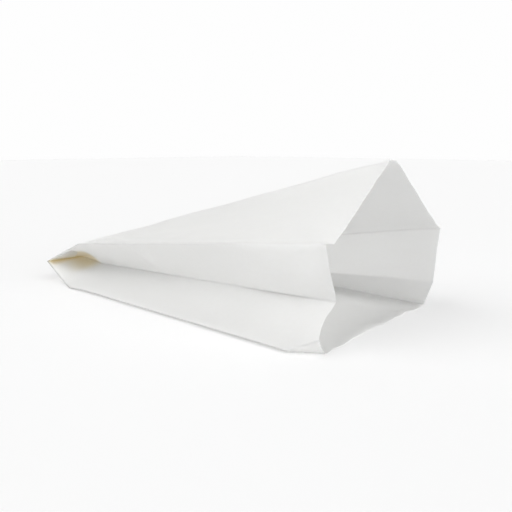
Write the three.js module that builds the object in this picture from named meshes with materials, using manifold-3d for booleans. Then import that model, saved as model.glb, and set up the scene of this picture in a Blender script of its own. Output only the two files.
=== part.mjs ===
// A small white paper bag with side gussets, lying on one broad panel with its mouth open.
// Millimetres. X runs along the bag from its closed end to its mouth, Y from its near side to its
// far side, and Z up. The bag rests on the floor panel, which is flat.
import * as THREE from "three";
import { mergeVertices } from "three/addons/utils/BufferGeometryUtils.js";
import Module from "manifold-3d";

// The flat sheet
const panelWidth = 130; // between the two creases of the floor panel
const gussetDepth = 31; // from a side crease to the centre crease of its gusset
const bagLength = 258; // from the closed line to the mouth
const sheetThickness = 0.3;
const upperKink = 44; // along the upper creases, where the closed end opens out
const lowerKink = 38; // the same along the lower creases
const tuckLength = 34; // along the centre creases, where the tucked-in gusset opens out

// How the opened sheet stands
const closedHeight = 15.4; // the closed line above the floor
const kinkHeight = 33; // the upper creases where the closed end opens out, near side
const farKinkHeight = 28; // and far side
const tuckHeight = 14.2; // the centre creases at the same place
const nearCreaseLean = 4.6; // how far the near upper crease leans in there
const farCreaseLean = 2.5;
const mouthNear = { side: 15, height: 55.5 }; // the upper creases at the mouth
const mouthFar = { side: 126, height: 52.7 };
const mouthNearTuck = { side: 25.3, height: 24.2 }; // the centre creases at the mouth
const mouthFarTuck = { side: 116.7, height: 19.3 };
const ridge = { back: 8.5, side: 86, height: 95 }; // the roof's peak at the mouth, back from its corner
const ridgeFlat = 5; // the peak's short flat top
const nearEave = 4.5; // the roof leaves its crease level for this much
const farEave = 4.5;
const curl = { start: 205.5, side: 6.3, height: 7.9, width: 15 }; // the near lower corner, curled up
const farFloorSkew = 2.7; // the far floor corner stands this far back
const dent = { along: 0.28, depth: 1.2 }; // a soft dent across the near gusset's upper half

const half = sheetThickness / 2;
const rows = [0.08, 0.18, dent.along, 0.4, 0.55, 0.7, 0.84, 0.93];
const point = (x, y, z) => new THREE.Vector3(x, y, z);

// A corner at a known side and height, as far from another corner as the sheet allows.
function reach(from, length, side, height, way = 1) {
  const across = side - from.y;
  const up = height - from.z;
  return point(from.x + way * Math.sqrt(length ** 2 - across ** 2 - up ** 2), side, height);
}

// The corners of the opened bag
const nearLowerKink = point(0, 0, half);
const farLowerKink = point(0, panelWidth, half);
const nearEnd = reach(nearLowerKink, lowerKink, 0.5, closedHeight, -1);
const farEnd = reach(farLowerKink, lowerKink, panelWidth - 0.5, closedHeight, -1);
const nearEndTuck = nearEnd.clone().lerp(farEnd, gussetDepth / panelWidth);
const farEndTuck = farEnd.clone().lerp(nearEnd, gussetDepth / panelWidth);
const nearUpperKink = reach(nearEnd, upperKink, nearCreaseLean, kinkHeight);
const farUpperKink = reach(farEnd, upperKink, panelWidth - farCreaseLean, farKinkHeight);
const nearTuck = reach(nearEndTuck, tuckLength, gussetDepth - 3, tuckHeight);
const farTuck = reach(farEndTuck, tuckLength, panelWidth - gussetDepth + 3, tuckHeight);
const nearMouth = reach(nearUpperKink, bagLength - upperKink, mouthNear.side, mouthNear.height);
const farMouth = reach(farUpperKink, bagLength - upperKink, mouthFar.side, mouthFar.height);
const nearMouthTuck = reach(nearTuck, bagLength - tuckLength - 5, mouthNearTuck.side, mouthNearTuck.height);
const farMouthTuck = reach(farTuck, bagLength - tuckLength, mouthFarTuck.side, mouthFarTuck.height);
const curledCorner = reach(nearLowerKink, bagLength - lowerKink + 2, curl.side, curl.height);
const curlEnd = point(curledCorner.x - 2, curl.side + curl.width, half);
const farFloorCorner = point(bagLength - lowerKink - 6.5 - farFloorSkew, panelWidth + 2, half);
const peak = point(nearMouth.x - ridge.back, ridge.side, ridge.height);
const peakFar = point(peak.x + 1, peak.y + ridgeFlat * 0.97, peak.z - 1);
const nearEaveEnd = point(nearMouth.x + 2.8, nearMouth.y + nearEave * 0.75, nearMouth.z);
const farEaveEnd = point(farMouth.x - 1.5, farMouth.y - farEave * 0.8, farMouth.z + 2.8);

// Each line along the bag runs from the closed end, past the kink, in steps to the mouth.
function line(end, kink, mouth) {
  const steps = rows.map((t) => kink.clone().lerp(mouth, t));
  return [end, end.clone().lerp(kink, 0.5), kink, ...steps, mouth];
}

function onRoof(offset, mouth) {
  const share = offset / panelWidth;
  return line(nearEnd.clone().lerp(farEnd, share), nearUpperKink.clone().lerp(farUpperKink, share), mouth);
}

// A line that lies on the floor up to a given station and then rises to the mouth.
function curled(end, kink, station, mouth) {
  const flat = line(end, kink, station);
  const steps = rows.map((t) => kink.clone().lerp(station, t / rows.at(-1)));
  return [flat[0], flat[1], kink, ...steps, mouth];
}

const lines = {
  nearUpper: line(nearEnd, nearUpperKink, nearMouth),
  nearEave: onRoof(2, nearEaveEnd),
  nearRidge: onRoof(4, peak),
  farRidge: onRoof(panelWidth - 4, peakFar),
  farEave: onRoof(panelWidth - 2, farEaveEnd),
  farUpper: line(farEnd, farUpperKink, farMouth),
  farCentre: line(farEndTuck, farTuck, farMouthTuck),
  farLower: line(farEnd, farLowerKink, farFloorCorner),
  curlEdge: curled(
    nearEnd.clone().lerp(farEnd, 0.16),
    nearLowerKink.clone().lerp(farLowerKink, 0.16),
    point(curl.start, curlEnd.y, half),
    curlEnd,
  ),
  nearLower: curled(nearEnd, nearLowerKink, point(curl.start, 1.9, half), curledCorner),
  nearCentre: line(nearEndTuck, nearTuck, nearMouthTuck),
};

// A panel fills the space between two lines.
function between(first, second, columns) {
  const grid = [];
  for (let c = 0; c <= columns; c += 1) {
    grid.push(first.map((p, row) => p.clone().lerp(second[row], c / columns)));
  }
  return grid;
}

// The near gusset's upper half carries a soft dent that slants across it.
function dented(grid) {
  const middle = grid[Math.floor(grid.length / 2)];
  const row = 3 + rows.indexOf(dent.along);
  middle[row].y += dent.depth;
  middle[row - 1].y += dent.depth / 2;
  return grid;
}

// A displacement that sets every neighbouring facet back by the same amount.
function offsetFrom(normals, amount) {
  const sum = new THREE.Vector3();
  normals.forEach((n) => sum.add(n));
  const mean = sum.normalize();
  const least = Math.min(...normals.map((n) => n.dot(mean)));
  return mean.clone().multiplyScalar(amount / Math.max(least, 0.5));
}

function facetNormals(points, faces) {
  const touching = points.map(() => []);
  faces.forEach(([a, b, c]) => {
    const n = new THREE.Triangle(points[a], points[b], points[c]).getNormal(new THREE.Vector3());
    [a, b, c].forEach((i) => touching[i].push(n));
  });
  return touching;
}

// Carries the outermost lines of a panel a hair past their creases, so that panels grow together.
function lapped(grid) {
  const wide = grid.map((column) => column.map((p) => p.clone()));
  const push = (edge, inner) => {
    edge.forEach((p, row) => {
      const way = p.clone().sub(inner[row]).normalize();
      p.addScaledVector(way, half * 0.8);
    });
  };
  push(wide[0], grid[1]);
  push(wide.at(-1), grid.at(-2));
  return wide;
}

function sheet(first, second, columns, shape = (grid) => grid) {
  const grid = lapped(shape(between(first, second, columns)));
  const count = first.length;
  const points = grid.flat();
  const faces = [];
  for (let c = 0; c < columns; c += 1) {
    for (let r = 0; r < count - 1; r += 1) {
      const i = c * count + r;
      faces.push([i, i + 1, i + count + 1], [i, i + count + 1, i + count]);
    }
  }
  const shift = facetNormals(points, faces).map((normals) => offsetFrom(normals, half));
  const front = points.map((p, i) => p.clone().add(shift[i]));
  const back = points.map((p, i) => p.clone().sub(shift[i]));
  const n = points.length;
  const shell = [...faces, ...faces.map(([a, b, c]) => [a + n, c + n, b + n])];
  const rim = [];
  for (let r = 0; r < count; r += 1) rim.push(r);
  for (let c = 1; c <= columns; c += 1) rim.push(c * count + count - 1);
  for (let r = count - 2; r >= 0; r -= 1) rim.push(columns * count + r);
  for (let c = columns - 1; c > 0; c -= 1) rim.push(c * count);
  rim.forEach((a, k) => {
    const b = rim[(k + 1) % rim.length];
    shell.push([a, a + n, b + n], [a, b + n, b]);
  });
  return closedGeometry([...front, ...back], shell);
}

function closedGeometry(points, faces) {
  const geometry = new THREE.BufferGeometry().setFromPoints(points);
  geometry.setIndex(faces.flat());
  return mergeVertices(geometry, 1e-5);
}

// The panels are joined into one sheet.
const wasm = await Module();
wasm.setup();

function toSolid(geometry) {
  const mesh = new wasm.Mesh({
    numProp: 3,
    vertProperties: new Float32Array(geometry.attributes.position.array),
    triVerts: new Uint32Array(geometry.index.array),
  });
  const solid = new wasm.Manifold(mesh);
  return solid;
}

function toGeometry(solid) {
  const mesh = solid.getMesh();
  const geometry = new THREE.BufferGeometry();
  geometry.setAttribute("position", new THREE.BufferAttribute(new Float32Array(mesh.vertProperties), 3));
  geometry.setIndex(new THREE.BufferAttribute(new Uint32Array(mesh.triVerts), 1));
  return geometry;
}

const panels = [
  sheet(lines.nearUpper, lines.nearEave, 1),
  sheet(lines.nearEave, lines.nearRidge, 3),
  sheet(lines.nearRidge, lines.farRidge, 4),
  sheet(lines.farRidge, lines.farEave, 2),
  sheet(lines.farEave, lines.farUpper, 1),
  sheet(lines.farUpper, lines.farCentre, 2),
  sheet(lines.farCentre, lines.farLower, 2),
  sheet(lines.farLower, lines.curlEdge, 2),
  sheet(lines.curlEdge, lines.nearLower, 2),
  sheet(lines.nearLower, lines.nearCentre, 3),
  sheet(lines.nearCentre, lines.nearUpper, 4, dented),
];

const bagSolid = panels.map(toSolid).reduce((joined, panel) => joined.add(panel));
const bagGeometry = toGeometry(bagSolid);
bagGeometry.computeBoundingBox();
const box = bagGeometry.boundingBox;
bagGeometry.translate(-(box.min.x + box.max.x) / 2, -(box.min.y + box.max.y) / 2, -box.min.z);

const whitePaper = new THREE.MeshStandardMaterial({ color: 0xf4f3ef, roughness: 0.85, metalness: 0 });
const bag = new THREE.Mesh(bagGeometry, whitePaper);
bag.name = "paper_bag";

const smallPaperBag = new THREE.Group();
smallPaperBag.add(bag);
export default smallPaperBag;
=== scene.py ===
# %% [markdown]
# # A small white paper bag
# The bag is one sheet of thin bleached kraft paper, creased, glued along one seam and pinched shut at
# one end. It lies on one broad panel with its mouth open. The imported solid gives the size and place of
# everything here: X runs from the closed end to the mouth, Y from the near gusset to the far one and
# Z up, in metres. The sheet below starts flat and is then folded, as the real one was.

# %% Load the frame
import bpy
import bmesh
import math
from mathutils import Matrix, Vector, noise


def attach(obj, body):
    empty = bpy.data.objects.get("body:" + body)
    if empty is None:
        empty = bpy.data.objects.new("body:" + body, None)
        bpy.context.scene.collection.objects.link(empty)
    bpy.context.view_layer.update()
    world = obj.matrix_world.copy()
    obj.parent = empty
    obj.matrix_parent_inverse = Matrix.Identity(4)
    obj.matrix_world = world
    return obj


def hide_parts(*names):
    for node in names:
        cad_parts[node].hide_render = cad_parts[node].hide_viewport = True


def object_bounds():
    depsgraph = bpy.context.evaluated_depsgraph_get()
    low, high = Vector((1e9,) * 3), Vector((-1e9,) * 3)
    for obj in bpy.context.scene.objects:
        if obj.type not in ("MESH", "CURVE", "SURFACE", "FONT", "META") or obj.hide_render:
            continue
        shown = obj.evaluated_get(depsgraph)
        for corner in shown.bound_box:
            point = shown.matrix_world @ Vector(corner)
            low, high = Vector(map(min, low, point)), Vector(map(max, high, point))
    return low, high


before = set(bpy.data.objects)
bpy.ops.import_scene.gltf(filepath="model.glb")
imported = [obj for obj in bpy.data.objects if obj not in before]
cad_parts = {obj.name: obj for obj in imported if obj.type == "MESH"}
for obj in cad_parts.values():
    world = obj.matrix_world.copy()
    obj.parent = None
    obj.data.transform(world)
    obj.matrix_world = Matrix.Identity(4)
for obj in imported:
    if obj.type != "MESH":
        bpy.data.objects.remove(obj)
cad_low, cad_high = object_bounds()
mm = 0.001
print("solid's box in mm:", [round((b - a) / mm, 1) for a, b in zip(cad_low, cad_high)])

# %% [markdown]
# ## The flat sheet's sizes
# A gusseted bag has four creases along its length, where the two broad panels meet the gussets, and a
# centre crease in each gusset that folds inwards. A bag maker sets the first three sizes. The kinks
# and the tuck say how far along each crease the closed end opens out, and the two heights say how high
# the opened bag holds its closed line and its tucks. All are in millimetres.

# %% Sizes of the sheet
PANEL_WIDTH = 130.0
GUSSET_DEPTH = 31.0
BAG_LENGTH = 258.0
SHEET_ROUND = 2 * PANEL_WIDTH + 4 * GUSSET_DEPTH
UPPER_KINK = 44.0
LOWER_KINK = 38.0
TUCK_LENGTH = 34.0
CLOSED_HEIGHT = 15.4
TUCK_HEIGHT = 14.2
PAPER = 0.14
CREASE_EDGE = 1.0
print("sheet in mm:", SHEET_ROUND, "by", BAG_LENGTH)

# %% [markdown]
# ## Where the corners stand
# Paper bends but doesn't stretch. So each corner is given a side and a height, and its place along the
# bag follows from how much sheet lies between it and the corner before it.


# %% Corners of the opened bag
def reach(start, length, side, height, way=1):
    """The corner at this side and height that is this length of sheet away from start."""
    across, up = side - start.y, height - start.z
    return Vector((start.x + way * math.sqrt(length**2 - across**2 - up**2), side, height))


# No point of the sheet's middle lies lower than this, so the paper's own thickness clears the table.
LOW = 0.15
near_lower_kink = Vector((0, -1.5, LOW))
far_lower_kink = Vector((0, PANEL_WIDTH, LOW))
near_end = reach(near_lower_kink, LOWER_KINK, 0.5, CLOSED_HEIGHT, -1)
far_end = reach(far_lower_kink, LOWER_KINK, PANEL_WIDTH - 0.5, CLOSED_HEIGHT, -1)
near_end_tuck = near_end.lerp(far_end, GUSSET_DEPTH / PANEL_WIDTH)
far_end_tuck = far_end.lerp(near_end, GUSSET_DEPTH / PANEL_WIDTH)
near_upper_kink = reach(near_end, UPPER_KINK, 4.6, 33)
far_upper_kink = reach(far_end, UPPER_KINK, PANEL_WIDTH - 2.5, 28)
near_tuck = reach(near_end_tuck, TUCK_LENGTH, GUSSET_DEPTH - 3, TUCK_HEIGHT)
far_tuck = reach(far_end_tuck, TUCK_LENGTH, PANEL_WIDTH - GUSSET_DEPTH + 3, TUCK_HEIGHT)
near_mouth = reach(near_upper_kink, BAG_LENGTH - UPPER_KINK, 15, 55.5)
far_mouth = reach(far_upper_kink, BAG_LENGTH - UPPER_KINK, 131, 51.9)
near_mouth_tuck = reach(near_tuck, BAG_LENGTH - TUCK_LENGTH - 5, 25.3, 24.2)
far_mouth_tuck = reach(far_tuck, BAG_LENGTH - TUCK_LENGTH - 1.5, 124, 18.7)
curled_corner = reach(near_lower_kink, BAG_LENGTH - LOWER_KINK + 2, 6.3, 7.9)
curl_end = Vector((curled_corner.x - 2, 21.3, LOW))
curl_start = Vector((205.5, 0.4, LOW))
far_floor_corner = Vector((BAG_LENGTH - LOWER_KINK - 9.2, PANEL_WIDTH + 2, LOW))
peak = Vector((near_mouth.x - 8.5, 86, 95))
peak_far = peak + Vector((1, 4.9, -1))
near_eave = near_mouth + Vector((2.8, 3.4, 0))
far_eave = far_mouth + Vector((-1.5, -3.6, 2.8))
print("mouth corners:", [tuple(round(c, 1) for c in p) for p in (near_mouth, peak, far_mouth)])

# %% [markdown]
# ## Lines along the bag
# Every line of the net runs from the closed end, past the kink where that end opens out, to the mouth.
# All lines have the same stations, so their crossings make a regular grid that a flat sheet can be
# folded onto. A real crease isn't a knife edge: the paper turns over about a millimetre to each side.
# So each crease has one more line close beside it on each side, and smooth shading rounds what lies
# between them.

# %% The folded net
STATIONS = [0.0, 0.14, 0.28, 0.45, 0.62, 0.78, 0.93, 1.0]
NEAR_LOWER, NEAR_CENTRE, NEAR_UPPER = 65.0, 96.0, 127.0
FAR_UPPER, FAR_CENTRE, FAR_LOWER = 257.0, 288.0, 319.0
CREASES = [NEAR_LOWER, NEAR_CENTRE, NEAR_UPPER, FAR_UPPER, FAR_CENTRE, FAR_LOWER]
CURL_LINE = 49.0


def line(end, kink, mouth):
    """A straight line from kink to mouth, with the closed end before it."""
    return [end, end.lerp(kink, 0.5)] + [kink.lerp(mouth, t) for t in STATIONS]


def floor_line(end, kink, station, mouth):
    """A line that stays on the floor as far as the last station but one, and then goes to the mouth."""
    flat = [kink.lerp(station, t / STATIONS[-2]) for t in STATIONS[:-1]]
    return [end, end.lerp(kink, 0.5)] + flat + [mouth]


def roof_line(offset, mouth):
    """A line on the roof, this far from the near crease at the closed end."""
    share = offset / PANEL_WIDTH
    return line(near_end.lerp(far_end, share), near_upper_kink.lerp(far_upper_kink, share), mouth)


def floor_strip(share, mouth):
    """A line on the floor panel, at this share of the way from the near crease to the far one."""
    kink = near_lower_kink.lerp(far_lower_kink, share)
    station = Vector((curl_start.x, mouth.y, LOW))
    return floor_line(near_end.lerp(far_end, share), kink, station, mouth)


def between(first, second, distance):
    """The line that lies this many mm of sheet from the first line, on the way to the second."""
    share = distance / abs(second[0] - first[0])
    middle = [a.lerp(b, share) for a, b in zip(first[2], second[2])]
    return (first[0] + share * (second[0] - first[0]), first[1] + share * (second[1] - first[1]), middle)


def with_crease_edges(lines):
    """Adds a line close to each side of every crease."""
    full = []
    for k, here in enumerate(lines):
        crease = here[0] in CREASES
        before = [between(here, lines[k - 1], CREASE_EDGE)] if crease else []
        after = [between(here, lines[k + 1], CREASE_EDGE)] if crease else []
        full += before + [here] + after
    return full


floor_middle = curl_end.lerp(far_floor_corner, 0.4)
net = with_crease_edges(
    [
        (0.0, LOWER_KINK, floor_strip(0.5, floor_middle)),
        (CURL_LINE, LOWER_KINK, floor_strip(0.16, curl_end)),
        (NEAR_LOWER, LOWER_KINK, floor_line(near_end, near_lower_kink, curl_start, curled_corner)),
        (NEAR_CENTRE, TUCK_LENGTH, line(near_end_tuck, near_tuck, near_mouth_tuck)),
        (NEAR_UPPER, UPPER_KINK, line(near_end, near_upper_kink, near_mouth)),
        (131.0, UPPER_KINK, roof_line(2, near_eave)),
        (195.0, UPPER_KINK, roof_line(4, peak)),
        (200.0, UPPER_KINK, roof_line(PANEL_WIDTH - 4, peak_far)),
        (253.0, UPPER_KINK, roof_line(PANEL_WIDTH - 2, far_eave)),
        (FAR_UPPER, UPPER_KINK, line(far_end, far_upper_kink, far_mouth)),
        (FAR_CENTRE, TUCK_LENGTH, line(far_end_tuck, far_tuck, far_mouth_tuck)),
        (FAR_LOWER, LOWER_KINK, line(far_end, far_lower_kink, far_floor_corner)),
        (SHEET_ROUND, LOWER_KINK, floor_strip(0.5, floor_middle)),
    ]
)
print("net:", len(net), "lines,", len(net[0][2]), "stations")

# %% [markdown]
# ## From flat sheet to folded bag
# A plane is crossed with one cut at each line and each station of the net. That flat sheet keeps its
# own measure of the paper as a UV map, in metres: how far round the bag and how far along it. Then each
# crossing goes to its corner. The two ends of the sheet meet on the floor panel: that is the seam.


# %% Cut and fold the sheet
def edit(thing):
    """Makes this the only active, selected object, in edit mode."""
    if bpy.context.mode != "OBJECT":
        bpy.ops.object.mode_set(mode="OBJECT")
    bpy.ops.object.select_all(action="DESELECT")
    thing.select_set(True)
    bpy.context.view_layer.objects.active = thing
    bpy.ops.object.mode_set(mode="EDIT")


def sheet_length(kink, row):
    """How far along the sheet this row of the net lies, on a line with this kink, in mm."""
    if row < 2:
        return kink * row / 2
    return kink + STATIONS[row - 2] * (BAG_LENGTH - kink)


bpy.ops.object.select_all(action="DESELECT")
columns, rows = len(net), len(net[0][2])
bpy.ops.mesh.primitive_grid_add(x_subdivisions=columns - 1, y_subdivisions=rows - 1, size=1.0)
bag = bpy.context.object
bag.name = "bag_paper"

crossing = {
    v.index: (round((v.co.x + 0.5) * (columns - 1)), round((v.co.y + 0.5) * (rows - 1)))
    for v in bag.data.vertices
}
measure = bag.data.uv_layers.active or bag.data.uv_layers.new(name="sheet")
measure.name = "sheet"
for loop in bag.data.loops:
    column, row = crossing[loop.vertex_index]
    measure.data[loop.index].uv = (net[column][0] * mm, sheet_length(net[column][1], row) * mm)
for name, k in (("line", 0), ("station", 1)):
    number = bag.data.attributes.new(name, "FLOAT", "POINT").data
    for v in bag.data.vertices:
        number[v.index].value = crossing[v.index][k]
for v in bag.data.vertices:
    column, row = crossing[v.index]
    v.co = net[column][2][row]
print("coarse net:", len(bag.data.vertices), "crossings")

# %% [markdown]
# ## A finer net
# Paper shows every small bend, so the coarse net is cut until its faces are about 3 mm wide. One ring
# of edges at a time is selected by its numbers, line and station, and subdivided, which is what loop
# cuts do by hand. The numbers and the UV map are carried along by the cuts.

# %% Cut the net finer
ACROSS_STEP, ALONG_STEP = 2.7, 3.4


def ring(name, k, cuts):
    """Cuts all edges that run from line or station k to the next one."""
    edit(bag)
    mesh = bmesh.from_edit_mesh(bag.data)
    layer = mesh.verts.layers.float[name]
    bpy.ops.mesh.select_all(action="DESELECT")
    bpy.ops.mesh.select_mode(type="EDGE")
    for e in mesh.edges:
        a, b = (v[layer] for v in e.verts)
        e.select_set(min(a, b) > k - 0.01 and max(a, b) < k + 1.01 and abs(a - b) > 0.5)
    bmesh.update_edit_mesh(bag.data)
    bpy.ops.mesh.subdivide(number_cuts=cuts)
    bpy.ops.object.mode_set(mode="OBJECT")


for k in range(columns - 1):
    cuts = round((net[k + 1][0] - net[k][0]) / ACROSS_STEP) - 1
    if cuts > 0:
        ring("line", k, cuts)
for k in range(rows - 1):
    cuts = round((sheet_length(LOWER_KINK, k + 1) - sheet_length(LOWER_KINK, k)) / ALONG_STEP) - 1
    if cuts > 0:
        ring("station", k, cuts)
print("fine net:", len(bag.data.vertices), "vertices,", len(bag.data.polygons), "faces")

# %% [markdown]
# ## How the paper settles
# A straight net would be stiffer than paper. The lower creases and the mouth's edge spring up from the
# table by one to one and a half millimetres, which is why the real bag shows a thin dark line beneath
# them. The gussets keep soft bends where the bag was once folded flat, and at the closed end they are
# tucked in, with a pocket on each side. Each of these is a gentle push, placed by the sheet's own
# measure. Last comes cockle: the slow, low waves that thin paper takes from damp hands and air.


# %% Soft steps and humps
def bell(distance, reach_out):
    """A smooth hump, 1 at no distance and nearly 0 past twice reach_out."""
    return math.exp(-((distance / reach_out) ** 2))


def rise(value, low, high):
    """Goes smoothly from 0 at low to 1 at high."""
    t = max(0.0, min(1.0, (value - low) / (high - low)))
    return t * t * (3 - 2 * t)


def sheet_places(thing):
    """Each vertex's place on the flat sheet in mm: (round, along)."""
    places = {}
    data = thing.data.uv_layers["sheet"].data
    for loop in thing.data.loops:
        u, v = data[loop.index].uv
        places.setdefault(loop.vertex_index, (u / mm, v / mm))
    return places


# %% Springing creases and the lifted edge of the mouth
def lower_spring(around, length):
    """How far the lower creases and the mouth's lower edge spring up from the table, in mm."""
    if length < LOWER_KINK:
        return 0
    flat = rise(length, LOWER_KINK, LOWER_KINK + 20)
    near = 1.5 * flat * bell(around - NEAR_LOWER, 8)
    far = 1.2 * flat * bell(around - FAR_LOWER, 3.5) * (1 - 0.6 * rise(length, 190, 256))
    on_floor = around <= NEAR_LOWER or around >= FAR_LOWER
    past_curl = rise(abs(around - NEAR_LOWER), 6, 22)
    edge = 1.1 * bell(BAG_LENGTH - length, 9) * past_curl if on_floor else 0
    past_seam = around if around < SHEET_ROUND / 2 else around - SHEET_ROUND
    wave = 0.9 + 0.4 * math.sin(past_seam / 9.0) + 0.2 * math.sin(past_seam / 3.7 + 1)
    return max(near, far, edge * wave)


# %% Bends in the gussets
def near_gusset_bend(around, length):
    """How the near gusset bends inwards (+y) or outwards (-y) of its straight folds, in mm."""
    across = (around - NEAR_CENTRE) / GUSSET_DEPTH
    if 0 < across < 1:
        belly = 4 * across * (1 - across)
        fold = 222 + 28 * across
        flare = 1 - rise(length, fold - 4, BAG_LENGTH)
        swell = -6.0 * belly**0.5 * rise(length, 175, fold) * flare
        slant = 116 - 12 * across
        return swell - 3.0 * bell(length - slant, 6) * math.sin(math.pi * across)
    if -1 < across < 0:
        return -0.5 * math.sin(math.pi * -across) * rise(length, 195, 250)
    return 0


def mouth_bow(around, length):
    """How far the cut edge bows back into the near gusset's lower half, in mm."""
    across = (NEAR_CENTRE - around) / GUSSET_DEPTH
    if not 0 < across < 1:
        return 0
    return 2.3 * math.sin(math.pi * across) * bell(BAG_LENGTH - length, 14)


def curl_bend(around, length):
    """How far the curled corner's strip of floor stays down before it turns up to its crease, in mm."""
    across = (around - CURL_LINE) / (NEAR_LOWER - CURL_LINE)
    if not 0 < across < 1:
        return 0
    return 3.8 * math.sin(math.pi * across) * rise(length, 206, 245)


def far_sag(around, length):
    """How far the far gusset's upper and centre creases sag between their ends, in mm."""
    upper = max(0.0, 1 - abs(around - FAR_UPPER) / GUSSET_DEPTH)
    centre = max(0.0, 1 - abs(around - FAR_CENTRE) / GUSSET_DEPTH)
    return 3.2 * upper * bell(length - 170, 50) + 2.8 * centre * bell(length - 165, 55)


# %% The tucked closed end
def tuck_push(around, length, station):
    """How the tucked-in gusset stands off the straight folds at the closed end: (y, z) in mm."""
    on_near_side = around < (NEAR_UPPER + FAR_UPPER) / 2
    centre, way = (NEAR_CENTRE, 1) if on_near_side else (FAR_CENTRE, -1)
    across = (around - centre) / GUSSET_DEPTH * way
    if abs(across) >= 1:
        return 0.0, 0.0
    t = station / 2
    if across > 0:
        vault = 16 * across * (1 - across) * t * (1 - t) if t < 1 else 0
        return 1.2 * vault * way, 3.4 * vault
    past = length - LOWER_KINK
    long_arch = 2.6 * bell(past, 55 if past > 0 else 11)
    arch = math.sin(math.pi * abs(across) ** 2.0) * (1.8 * bell(past, 11) + long_arch)
    return -0.25 * arch * way, arch


# %% Cockle
COCKLE_WIDTH, RIPPLE_WIDTH = 27.0, 9.0


def cockle(around, length):
    """The low waves of the paper at this place of the sheet, in mm; the same at both ends of the sheet."""
    turn = around / SHEET_ROUND * 2 * math.pi
    ring_place = Vector((math.cos(turn), math.sin(turn), 0)) * SHEET_ROUND / (2 * math.pi)
    ring_place.z = length * 0.7
    slow = noise.noise(ring_place / COCKLE_WIDTH)
    quick = noise.noise(ring_place / RIPPLE_WIDTH + Vector((0, 0, 40)))
    calm = min(1 - bell(around - crease, 3) for crease in CREASES)
    loose = 1 + 1.2 * bell(BAG_LENGTH - length, 12)
    return (0.8 * slow + 0.3 * quick) * calm * loose * rise(length, 0, 30)


places = sheet_places(bag)
stations = [d.value for d in bag.data.attributes["station"].data]
normals = [v.normal.copy() for v in bag.data.vertices]
for v in bag.data.vertices:
    around, length = places[v.index]
    lower = around <= NEAR_CENTRE or around >= FAR_CENTRE
    tuck_y, tuck_z = tuck_push(around, length, stations[v.index])
    v.co += normals[v.index] * cockle(around, length)
    v.co.x -= mouth_bow(around, length)
    rolled = curl_bend(around, length)
    v.co.y += near_gusset_bend(around, length) + tuck_y - 0.2 * rolled
    v.co.z += tuck_z - far_sag(around, length) - rolled
    if lower:
        v.co.z += lower_spring(around, length)
    v.co.z = max(v.co.z, LOW)
print("sheet settled, lowest point", round(min(v.co.z for v in bag.data.vertices), 2), "mm")

# %% [markdown]
# ## Paste and painted shade at the closed end
# The closed end is folded over and stuck with starch paste, which dries to a warm straw colour along
# the pinched line. Deep in the tucks the same warm colour is painted shade: it stands in for the warm,
# dim light held between the layers there. How strongly each point takes this colour is kept as an
# attribute of the mesh, and the paper's material reads it.


# %% Where the paste and the painted shade are
def paste_and_tuck_shade(around, length):
    """How strongly the warm colour shows here, from 0 to 1: paste along the closed line, painted shade in the
    tucks.
    """
    from_centre = min(abs(around - NEAR_CENTRE), abs(around - FAR_CENTRE))
    in_gusset = 1 - rise(from_centre, GUSSET_DEPTH - 4, GUSSET_DEPTH)
    # Real paste along the closed line, strongest in the gussets.
    seam = bell(length, 5) * (0.12 + 0.88 * in_gusset)
    # Painted warm shade deep in the tucks, near the centre creases at the closed end.
    tuck_shade = (1 - rise(from_centre, 5, 25)) * (1 - rise(length, 20, 36))
    return max(seam, 0.6 * tuck_shade)


paste_and_shade_mask = bag.data.attributes.new("paste_and_tuck_shade", "FLOAT", "POINT").data
for v in bag.data.vertices:
    paste_and_shade_mask[v.index].value = paste_and_tuck_shade(*places[v.index])
print("pasted share of the sheet:", round(sum(d.value for d in paste_and_shade_mask) / len(paste_and_shade_mask), 3))

# %% [markdown]
# ## Glue, thickness and shading
# The ends of the sheet are merged along the seam. Solidify then gives the paper both of its faces. The
# mouth's cut edge and the pinched line stay sharp, and all else is shaded smooth.

# %% Glue the seam, bring the bag to the frame and give the paper its thickness
shift = Vector((cad_low.x / mm - near_end.x + 0.2, cad_low.y / mm + 0.4, 0))
for v in bag.data.vertices:
    v.co = (v.co + shift) * mm
edit(bag)
bpy.ops.mesh.select_all(action="SELECT")
bpy.ops.mesh.remove_doubles(threshold=0.02 * mm)
bpy.ops.mesh.normals_make_consistent(inside=False)
mesh = bmesh.from_edit_mesh(bag.data)
station = mesh.verts.layers.float["station"]
bpy.ops.mesh.select_all(action="DESELECT")
for e in mesh.edges:
    ends = [v[station] for v in e.verts]
    e.select_set(min(ends) > rows - 1.01 or max(ends) < 0.01)
bmesh.update_edit_mesh(bag.data)
bpy.ops.mesh.mark_sharp()
bpy.ops.object.mode_set(mode="OBJECT")
wall = bag.modifiers.new("paper thickness", "SOLIDIFY")
wall.thickness = PAPER * mm
wall.offset = 0
bpy.ops.object.modifier_apply(modifier=wall.name)
bpy.ops.object.shade_smooth()
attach(bag, "root")
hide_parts("paper_bag")
print("bag:", len(bag.data.polygons), "faces")

# %% [markdown]
# ## Bleached kraft paper
# Bag paper is thin, about 50 g/m2, bleached white and left uncoated. It is matt, lets a good part of
# the light through, and has a fine cloudy fibre that shows as a faint mottle. The material mixes a
# rough surface with a translucent one. Each of the paper's two faces scatters, so the sheet as a whole
# sends back a little more light than it lets through.


# %% Paper
def to_linear(code):
    """An sRGB hex colour as linear red, green, blue and alpha."""
    parts = [int(code[i : i + 2], 16) / 255 for i in (1, 3, 5)]
    return [c / 12.92 if c <= 0.04045 else ((c + 0.055) / 1.055) ** 2.4 for c in parts] + [1.0]


def add_node(tree, kind, settings=None, links=None):
    """Adds a node, sets its properties or sockets, and links its inputs."""
    node = tree.nodes.new(kind)
    for key, value in (settings or {}).items():
        if isinstance(key, str) and hasattr(node, key):
            setattr(node, key, value)
        else:
            node.inputs[key].default_value = value
    for key, source in (links or {}).items():
        tree.links.new(source, node.inputs[key])
    return node


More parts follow.
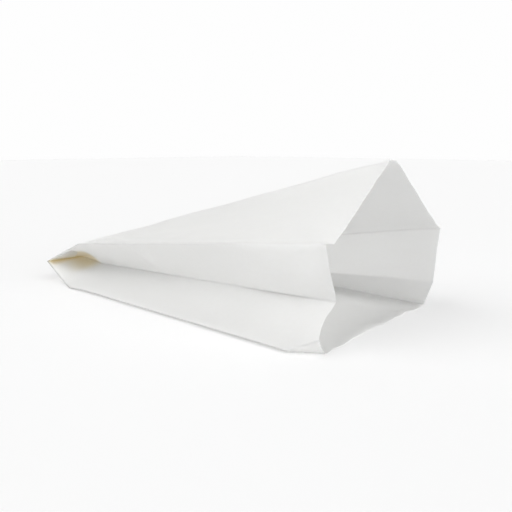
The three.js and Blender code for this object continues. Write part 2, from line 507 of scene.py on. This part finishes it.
FIBRE_CLOUD = 1 / (2.2 * mm)
FIBRE = 1 / (0.9 * mm)
paper = bpy.data.materials.new("bleached kraft paper")
paper.use_nodes = True
tree = paper.node_tree
tree.nodes.clear()
place = add_node(tree, "ShaderNodeTexCoord").outputs["Object"]
cloud = add_node(tree, "ShaderNodeTexNoise", {"Scale": FIBRE_CLOUD, "Detail": 4.0}, {"Vector": place})
fibre = add_node(tree, "ShaderNodeTexNoise", {"Scale": FIBRE, "Detail": 3.0}, {"Vector": place})
bump = add_node(
    tree, "ShaderNodeBump", {"Strength": 0.15, "Distance": 0.1 * mm}, {"Height": fibre.outputs["Fac"]}
)
white = add_node(
    tree,
    "ShaderNodeMix",
    {"data_type": "RGBA", 6: to_linear("#FBFBFA"), 7: to_linear("#FEFEFE")},
    {0: cloud.outputs["Fac"]},
)
paste_and_shade = add_node(tree, "ShaderNodeAttribute", {"attribute_name": "paste_and_tuck_shade"})
# Straw colour where the mask is high: real paste along the closed line, and painted warm shade in the tucks.
tone = add_node(
    tree,
    "ShaderNodeMix",
    {"data_type": "RGBA", 7: to_linear("#F3E8CB")},
    {0: paste_and_shade.outputs["Fac"], 6: white.outputs[2]},
)
skin = add_node(
    tree,
    "ShaderNodeBsdfPrincipled",
    {"Roughness": 0.75, "Specular IOR Level": 0.15},
    {"Base Color": tone.outputs[2], "Normal": bump.outputs["Normal"]},
)
through = add_node(
    tree, "ShaderNodeBsdfTranslucent", {}, {"Color": tone.outputs[2], "Normal": bump.outputs["Normal"]}
)
THROUGH_SHARE = 0.65
leaf = add_node(tree, "ShaderNodeMixShader", {0: THROUGH_SHARE}, {1: skin.outputs[0], 2: through.outputs[0]})
add_node(tree, "ShaderNodeOutputMaterial", {}, {"Surface": leaf.outputs[0]})
bag.data.materials.clear()
bag.data.materials.append(paper)
print("paper lets through about", round(THROUGH_SHARE**2 / (1 - (1 - THROUGH_SHARE) ** 2), 2), "of the light")

# %% [markdown]
# ## The studio
# The bag lies on a white sheet that is lit by five broad banks, with hardly any light from all round.
# One stands on the left and two beyond the mouth. The two behind are weak and shine through the roof.
# The background is white because the camera sees the world, and a share of the sheet, brighter than
# they light the bag. The rest of the sheet's look is lit by the banks, so the bag's shadow stays on it.

# %% What the camera sees
def seen_directly(tree):
    """1 for rays from the camera, off gloss or through glass, and 0 for light that paper scatters."""
    rays = add_node(tree, "ShaderNodeLightPath")
    clear = rays.outputs["Is Camera Ray"]
    for kind in ("Is Glossy Ray", "Is Transmission Ray"):
        either = add_node(tree, "ShaderNodeMath", {"operation": "MAXIMUM"}, {0: clear, 1: rays.outputs[kind]})
        clear = either.outputs[0]
    scattered = rays.outputs["Is Diffuse Ray"]
    less = {"operation": "SUBTRACT", "use_clamp": True}
    return add_node(tree, "ShaderNodeMath", less, {0: clear, 1: scattered}).outputs[0]


# %% Floor
FLOOR_SIZE = 8.0
FLOOR_GLOW, FLOOR_GLOW_SHARE = 1.0, 0.35
bpy.ops.object.select_all(action="DESELECT")
bpy.ops.mesh.primitive_plane_add(size=FLOOR_SIZE, location=(0, 0, 0))
table = bpy.context.object
table.name = "table_surface"
sheet = bpy.data.materials.new("white studio sheet")
sheet.use_nodes = True
tree = sheet.node_tree
tree.nodes.clear()
matte = add_node(tree, "ShaderNodeBsdfDiffuse", {"Color": to_linear("#F6F6F6")})
plain = add_node(tree, "ShaderNodeEmission", {"Strength": FLOOR_GLOW})
share = add_node(tree, "ShaderNodeMapRange", {"To Max": FLOOR_GLOW_SHARE}, {"Value": seen_directly(tree)})
look = add_node(
    tree, "ShaderNodeMixShader", {}, {0: share.outputs[0], 1: matte.outputs[0], 2: plain.outputs[0]}
)
add_node(tree, "ShaderNodeOutputMaterial", {}, {"Surface": look.outputs[0]})
table.data.materials.append(sheet)
print("floor:", FLOOR_SIZE, "m square, lit by itself for", FLOOR_GLOW_SHARE, "of what the camera sees")

# %% World
AMBIENT = 0.03
BACKDROP = 0.99
world = bpy.data.worlds.new("studio")
bpy.context.scene.world = world
world.use_nodes = True
tree = world.node_tree
tree.nodes.clear()
strength = add_node(
    tree, "ShaderNodeMapRange", {"To Min": AMBIENT, "To Max": BACKDROP}, {"Value": seen_directly(tree)}
)
glow = add_node(tree, "ShaderNodeBackground", {"Color": (1, 1, 1, 1)}, {"Strength": strength.outputs[0]})
add_node(tree, "ShaderNodeOutputWorld", {}, {"Surface": glow.outputs[0]})
print("world: lights the bag at", AMBIENT, "and is seen at", BACKDROP)


# %% Banks of light
def wide_light(name, azimuth, height, strength, spread=60):
    """A broad, even light from this compass direction and height, both in degrees."""
    lamp = bpy.data.lights.new(name, "SUN")
    lamp.angle, lamp.energy = math.radians(spread), strength
    thing = bpy.data.objects.new(name, lamp)
    bpy.context.collection.objects.link(thing)
    a, e = math.radians(azimuth), math.radians(height)
    thing.location = Vector((math.sin(a) * math.cos(e), -math.cos(a) * math.cos(e), math.sin(e))) * 2
    thing.rotation_mode = "QUATERNION"
    thing.rotation_quaternion = thing.location.to_track_quat("Z", "Y")


wide_light("left_bank", -35, 45, 2.0)
wide_light("mouth_bank", 85, 25, 2.2)
wide_light("low_mouth_bank", 75, 10, 1.1)
wide_light("back_left_bank", -120, 40, 0.5)
wide_light("back_bank", 180, 45, 0.25)

# %% Camera
YAW, PITCH = 43.43, 10.42
FOCAL_IN_PIXELS, PICTURE_WIDTH = 600.0, 512
eye = Vector((391.2, -217.0, 102.3))
lens = bpy.data.cameras.new("camera")
lens.sensor_width = 36.0
lens.lens = FOCAL_IN_PIXELS / PICTURE_WIDTH * lens.sensor_width
camera = bpy.data.objects.new("camera", lens)
bpy.context.collection.objects.link(camera)
camera.location = (eye + shift) * mm
camera.rotation_euler = (math.radians(90 - PITCH), 0, math.radians(YAW))
bpy.context.scene.camera = camera
bpy.context.scene.view_settings.view_transform = "Standard"
print("camera at", [round(c, 3) for c in camera.location])
